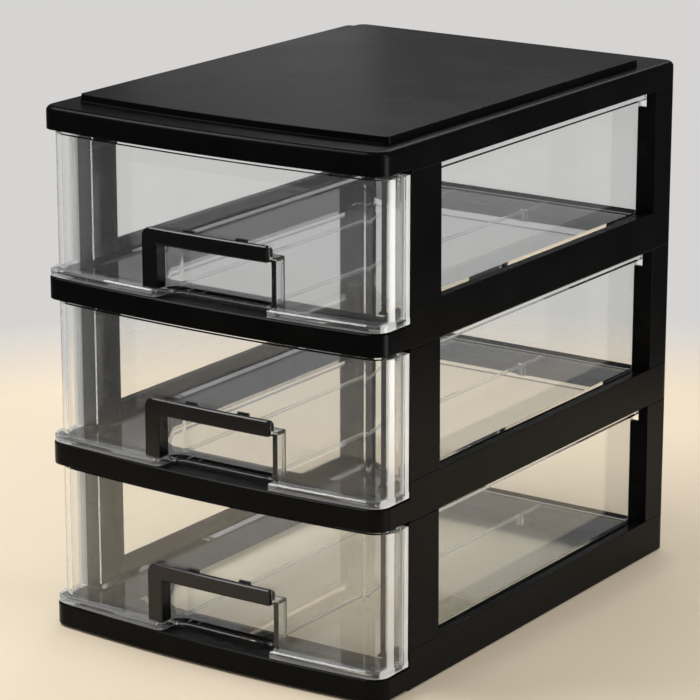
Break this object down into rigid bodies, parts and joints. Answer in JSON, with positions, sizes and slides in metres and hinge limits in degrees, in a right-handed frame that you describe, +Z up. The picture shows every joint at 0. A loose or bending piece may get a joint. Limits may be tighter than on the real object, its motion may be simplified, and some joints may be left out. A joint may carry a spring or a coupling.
{
  "type": "desktop drawer organizer",
  "caption": "Desktop organizer with clear sliding drawers in a stack of open black frames under a bowed cover.",
  "frame": {"origin": "middle of the base, on the surface that the organizer stands on", "axes": "+Z up, -Y towards the drawer fronts, +X to the right as seen from the front"},
  "size_m": [0.176, 0.25, 0.2392],
  "materials": {
    "frame_black": "satin",
    "handle_black": "satin",
    "drawer_clear": "clear"
  },
  "bodies": {
    "stand": {"tier_frame_lower": "frame_black", "tier_frame_middle": "frame_black", "tier_frame_upper": "frame_black", "top_cover": "frame_black"},
    "lower_drawer": {"drawer_lower": "drawer_clear", "handle_lower": "handle_black"},
    "middle_drawer": {"drawer_middle": "drawer_clear", "handle_middle": "handle_black"},
    "upper_drawer": {"drawer_upper": "drawer_clear", "handle_upper": "handle_black"}
  },
  "joints": [
    {"name": "lower_drawer_slide", "type": "slide", "parent": "stand", "child": "lower_drawer", "axis": [0, -1, 0], "range_m": [0, 0.19]},
    {"name": "middle_drawer_slide", "type": "slide", "parent": "stand", "child": "middle_drawer", "axis": [0, -1, 0], "range_m": [0, 0.19]},
    {"name": "upper_drawer_slide", "type": "slide", "parent": "stand", "child": "upper_drawer", "axis": [0, -1, 0], "range_m": [0, 0.19]}
  ]
}
